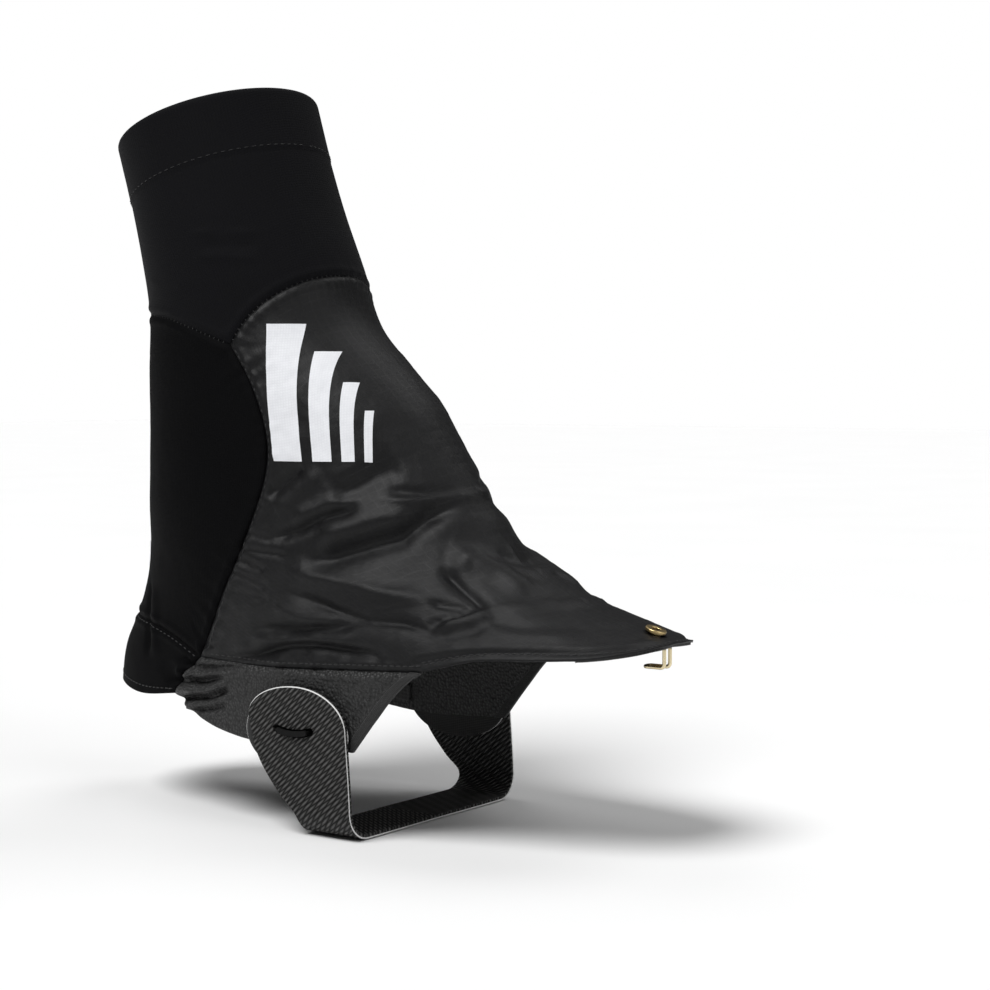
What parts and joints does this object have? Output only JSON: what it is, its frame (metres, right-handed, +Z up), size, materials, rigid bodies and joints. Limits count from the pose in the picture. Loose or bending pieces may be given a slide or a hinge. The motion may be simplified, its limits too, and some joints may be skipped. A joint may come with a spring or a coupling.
{
  "type": "trail gaiter",
  "caption": "Ankle gaiter for a trail shoe: knit cuff, nylon instep panel with a lace hook at its tip, and a coated strap under the sole hooked on at each side",
  "frame": {"origin": "centre of the underfoot strap's upper face, where the arch of the shoe's sole rests", "axes": "+X towards the toe, +Y towards the wearer's left, +Z up; symmetric about the XZ plane apart from the print"},
  "size_m": [0.2221, 0.0918, 0.2406],
  "materials": {
    "stretch_knit": "matte black stretch knit",
    "stretch_panel": "matte black stretch cloth",
    "ripstop_nylon": "dark grey-black ripstop nylon with a soft sheen",
    "grained_panel": "black coated cloth with a fine leather grain",
    "edge_binding": "black woven binding",
    "elastic_band": "black woven elastic",
    "stiff_backing": "black stiffened cloth",
    "hook_and_loop": "black hook-and-loop pile",
    "coated_webbing": "black rubber-coated basket weave with a pale core",
    "black_plastic": "black moulded plastic",
    "white_print": "white transfer print",
    "brass": "polished brass",
    "hook_metal": "pale brass wire"
  },
  "bodies": {
    "root": {"ankle_cuff": "stretch_knit", "cuff_elastic": "elastic_band", "rear_panel": "stretch_panel", "front_panel": "ripstop_nylon", "tip_patch": "stiff_backing", "lace_hook_rivet": "brass", "rivet_washer": "brass", "heel_patch": "stretch_panel", "heel_grip_pad": "hook_and_loop", "front_graphic": "white_print", "back_mark": "white_print", "underfoot_strap": "coated_webbing", "side_reinforcement_right": "grained_panel", "side_binding_right": "edge_binding", "hem_elastic_right": "elastic_band", "strap_hook_base_right": "black_plastic", "strap_hook_right": "black_plastic", "side_reinforcement_left": "grained_panel", "side_binding_left": "edge_binding", "hem_elastic_left": "elastic_band", "strap_hook_base_left": "black_plastic", "strap_hook_left": "black_plastic"},
    "strap_end_right": {"strap_tab_right": "coated_webbing", "strap_backing_right": "coated_webbing"},
    "strap_end_left": {"strap_tab_left": "coated_webbing", "strap_backing_left": "coated_webbing"},
    "lace_hook": {"lace_hook": "hook_metal"}
  },
  "joints": [
    {"name": "strap_end_right_swing", "type": "hinge", "parent": "root", "child": "strap_end_right", "pos_m": [0, -0.0448, 0.0103], "axis": [1, 0, 0], "range_deg": [0, 80]},
    {"name": "strap_end_left_swing", "type": "hinge", "parent": "root", "child": "strap_end_left", "pos_m": [0, 0.0448, 0.0103], "axis": [-1, 0, 0], "range_deg": [0, 80]},
    {"name": "lace_hook_swivel", "type": "hinge", "parent": "root", "child": "lace_hook", "pos_m": [0.093, 0, 0.06526], "axis": [0.2975, 0, 0.9547], "range_deg": [-20, 20]}
  ]
}
